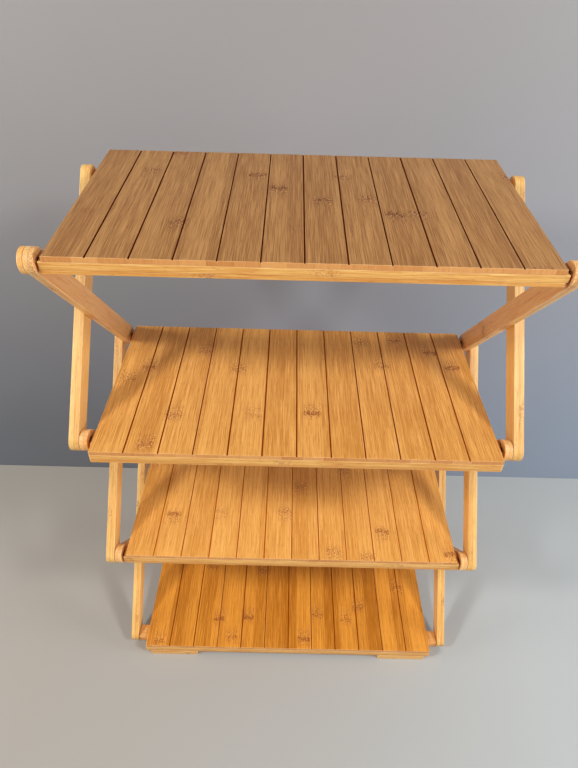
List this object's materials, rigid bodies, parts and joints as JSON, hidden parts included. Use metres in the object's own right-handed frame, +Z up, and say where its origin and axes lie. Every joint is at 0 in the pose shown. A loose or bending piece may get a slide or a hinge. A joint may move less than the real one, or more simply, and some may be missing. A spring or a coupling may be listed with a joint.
{
  "type": "folding book rack",
  "caption": "Free-standing folding bamboo rack: grooved shelves on crossed side arms that close like lazy tongs, each upper shelf lifting on its own pivot.",
  "frame": {"origin": "on the floor at the middle of the open rack's footprint", "axes": "+X to the rack's right seen from the front, +Y to the rear, +Z up"},
  "size_m": [0.4508, 0.2321, 0.6327],
  "materials": {
    "top_board_bamboo": "satin lacquer",
    "board_bamboo": "satin lacquer",
    "rail_bamboo": "satin lacquer",
    "arm_bamboo": "satin lacquer",
    "pin_steel": "plain steel dowel"
  },
  "bodies": {
    "bottom_shelf": {"shelf_4_panel": "board_bamboo", "shelf_4_rear_rail": "rail_bamboo", "shelf_4_front_lip": "rail_bamboo", "shelf_4_pivot_pins": "pin_steel", "bottom_cap_left": "arm_bamboo", "bottom_cap_right": "arm_bamboo", "front_foot_left": "rail_bamboo", "front_foot_right": "rail_bamboo", "rear_foot_left": "rail_bamboo", "rear_foot_right": "rail_bamboo"},
    "bottom_inner_arms": {"bottom_inner_arm_left": "arm_bamboo", "bottom_inner_arm_right": "arm_bamboo"},
    "bottom_outer_arms": {"bottom_outer_arm_left": "arm_bamboo", "bottom_outer_arm_right": "arm_bamboo", "bottom_cross_pins": "pin_steel"},
    "support_4": {"support_rail_4": "rail_bamboo", "support_rail_4_pins": "pin_steel"},
    "support_3": {"support_rail_3": "rail_bamboo", "support_rail_3_pins": "pin_steel"},
    "shelf_3_pins": {"shelf_3_pivot_pins": "pin_steel"},
    "third_shelf": {"shelf_3_panel": "board_bamboo", "shelf_3_front_rail": "rail_bamboo", "shelf_3_rear_lip": "rail_bamboo"},
    "middle_outer_arms": {"middle_outer_arm_left": "arm_bamboo", "middle_outer_arm_right": "arm_bamboo", "middle_cross_pins": "pin_steel"},
    "middle_inner_arms": {"middle_inner_arm_left": "arm_bamboo", "middle_inner_arm_right": "arm_bamboo"},
    "support_2": {"support_rail_2": "rail_bamboo", "support_rail_2_pins": "pin_steel"},
    "shelf_2_pins": {"shelf_2_pivot_pins": "pin_steel"},
    "second_shelf": {"shelf_2_panel": "board_bamboo", "shelf_2_rear_rail": "rail_bamboo", "shelf_2_front_lip": "rail_bamboo"},
    "top_inner_arms": {"top_inner_arm_left": "arm_bamboo", "top_inner_arm_right": "arm_bamboo"},
    "top_outer_arms": {"top_outer_arm_left": "arm_bamboo", "top_outer_arm_right": "arm_bamboo", "top_cross_pins": "pin_steel"},
    "support_1": {"support_rail_1": "rail_bamboo", "support_rail_1_pins": "pin_steel"},
    "shelf_1_pins": {"shelf_1_pivot_pins": "pin_steel", "top_cap_left": "arm_bamboo", "top_cap_right": "arm_bamboo"},
    "top_shelf": {"shelf_1_panel": "top_board_bamboo", "shelf_1_front_rail": "rail_bamboo", "shelf_1_rear_lip": "rail_bamboo"}
  },
  "joints": [
    {"name": "fold", "type": "hinge", "parent": "bottom_shelf", "child": "bottom_inner_arms", "pos_m": [0, 0.092, 0.0165], "axis": [-1, 0, 0], "range_deg": [0, 37]},
    {"name": "bottom_cross", "type": "hinge", "parent": "bottom_inner_arms", "child": "bottom_outer_arms", "pos_m": [0, 0, 0.116], "axis": [1, 0, 0], "range_deg": [0, 74]},
    {"name": "support_4_level", "type": "hinge", "parent": "bottom_outer_arms", "child": "support_4", "pos_m": [0, -0.092, 0.0165], "axis": [1, 0, 0], "range_deg": [-37, 0]},
    {"name": "support_3_level", "type": "hinge", "parent": "bottom_outer_arms", "child": "support_3", "pos_m": [0, 0.092, 0.2155], "axis": [1, 0, 0], "range_deg": [-37, 0]},
    {"name": "shelf_3_level", "type": "hinge", "parent": "bottom_inner_arms", "child": "shelf_3_pins", "pos_m": [0, -0.092, 0.2155], "axis": [1, 0, 0], "range_deg": [0, 37]},
    {"name": "elbow_3", "type": "hinge", "parent": "bottom_inner_arms", "child": "middle_outer_arms", "pos_m": [0, -0.092, 0.2155], "axis": [1, 0, 0], "range_deg": [0, 74]},
    {"name": "middle_cross", "type": "hinge", "parent": "middle_outer_arms", "child": "middle_inner_arms", "pos_m": [0, 0, 0.315], "axis": [1, 0, 0], "range_deg": [-74, 0]},
    {"name": "support_2_level", "type": "hinge", "parent": "middle_inner_arms", "child": "support_2", "pos_m": [0, -0.092, 0.4145], "axis": [1, 0, 0], "range_deg": [0, 37]},
    {"name": "shelf_2_level", "type": "hinge", "parent": "middle_outer_arms", "child": "shelf_2_pins", "pos_m": [0, 0.092, 0.4145], "axis": [1, 0, 0], "range_deg": [-37, 0]},
    {"name": "elbow_2", "type": "hinge", "parent": "middle_outer_arms", "child": "top_inner_arms", "pos_m": [0, 0.092, 0.4145], "axis": [1, 0, 0], "range_deg": [-74, 0]},
    {"name": "top_cross", "type": "hinge", "parent": "top_inner_arms", "child": "top_outer_arms", "pos_m": [0, 0, 0.514], "axis": [1, 0, 0], "range_deg": [0, 74]},
    {"name": "support_1_level", "type": "hinge", "parent": "top_outer_arms", "child": "support_1", "pos_m": [0, 0.092, 0.6135], "axis": [1, 0, 0], "range_deg": [-37, 0]},
    {"name": "shelf_1_level", "type": "hinge", "parent": "top_inner_arms", "child": "shelf_1_pins", "pos_m": [0, -0.092, 0.6135], "axis": [1, 0, 0], "range_deg": [0, 37]},
    {"name": "lift_shelf_1", "type": "hinge", "parent": "shelf_1_pins", "child": "top_shelf", "pos_m": [0, -0.092, 0.6135], "axis": [1, 0, 0], "range_deg": [0, 87]},
    {"name": "lift_shelf_2", "type": "hinge", "parent": "shelf_2_pins", "child": "second_shelf", "pos_m": [0, 0.092, 0.4145], "axis": [-1, 0, 0], "range_deg": [0, 80]},
    {"name": "lift_shelf_3", "type": "hinge", "parent": "shelf_3_pins", "child": "third_shelf", "pos_m": [0, -0.092, 0.2155], "axis": [1, 0, 0], "range_deg": [0, 73]}
  ],
  "couplings": [
    {"joint": "bottom_cross", "follows": "fold", "ratio": 2},
    {"joint": "support_4_level", "follows": "fold", "ratio": -1},
    {"joint": "support_3_level", "follows": "fold", "ratio": -1},
    {"joint": "shelf_3_level", "follows": "fold", "ratio": 1},
    {"joint": "elbow_3", "follows": "fold", "ratio": 2},
    {"joint": "middle_cross", "follows": "fold", "ratio": -2},
    {"joint": "support_2_level", "follows": "fold", "ratio": 1},
    {"joint": "shelf_2_level", "follows": "fold", "ratio": -1},
    {"joint": "elbow_2", "follows": "fold", "ratio": -2},
    {"joint": "top_cross", "follows": "fold", "ratio": 2},
    {"joint": "support_1_level", "follows": "fold", "ratio": -1},
    {"joint": "shelf_1_level", "follows": "fold", "ratio": 1}
  ]
}
